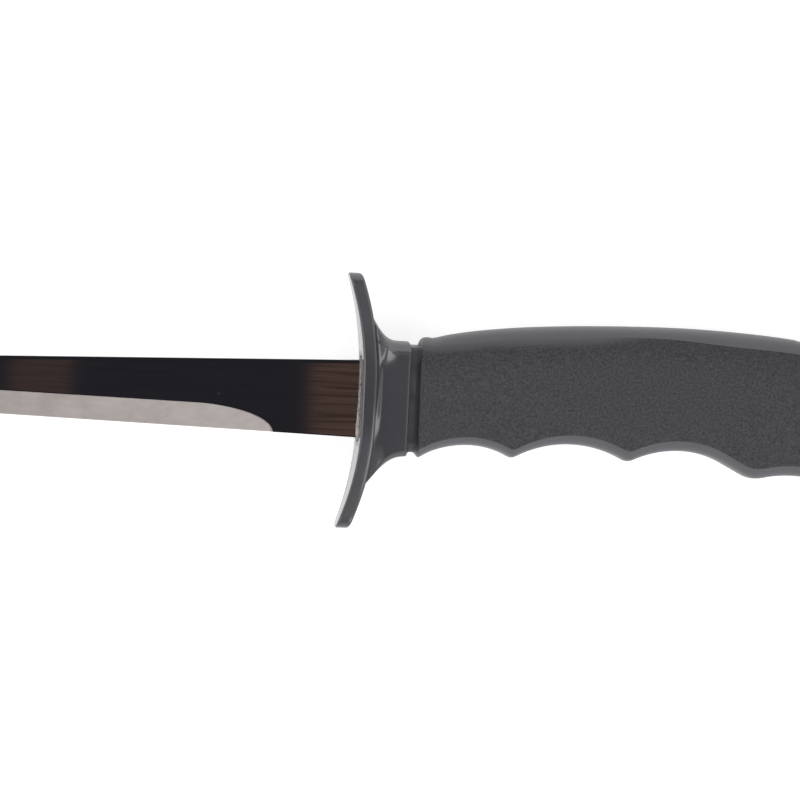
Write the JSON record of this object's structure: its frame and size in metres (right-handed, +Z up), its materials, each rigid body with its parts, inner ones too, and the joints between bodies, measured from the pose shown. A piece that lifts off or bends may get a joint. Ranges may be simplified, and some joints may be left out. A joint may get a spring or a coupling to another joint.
{
  "type": "fillet knife",
  "caption": "Narrow fillet knife with a full double hand guard, a ground steel blade and a finger-grooved two-component moulded handle.",
  "frame": {"origin": "middle of the footprint of the knife lying on its right side, on the surface that it lies on", "axes": "+X from the blade tip to the butt, +Y from the cutting edge to the spine, +Z up, out of the knife's left side"},
  "size_m": [0.2816, 0.0568, 0.0185],
  "materials": {
    "blade_steel": "mirror-polished flats, satin ground bevels",
    "sealing_compound": "matt speckled beige compound",
    "guard_plastic": "gloss charcoal grey",
    "neck_plastic": "satin charcoal grey",
    "core_plastic": "satin dark grey",
    "pin_steel": "turned",
    "grip_rubber": "matt grey with a fine eroded grain on the side panels"
  },
  "bodies": {
    "root": {"blade": "blade_steel", "blade_bead": "sealing_compound", "guard": "guard_plastic", "neck_seal": "neck_plastic", "core_left": "core_plastic", "core_right": "core_plastic", "tang_pins": "pin_steel", "grip": "grip_rubber"}
  },
  "joints": []
}
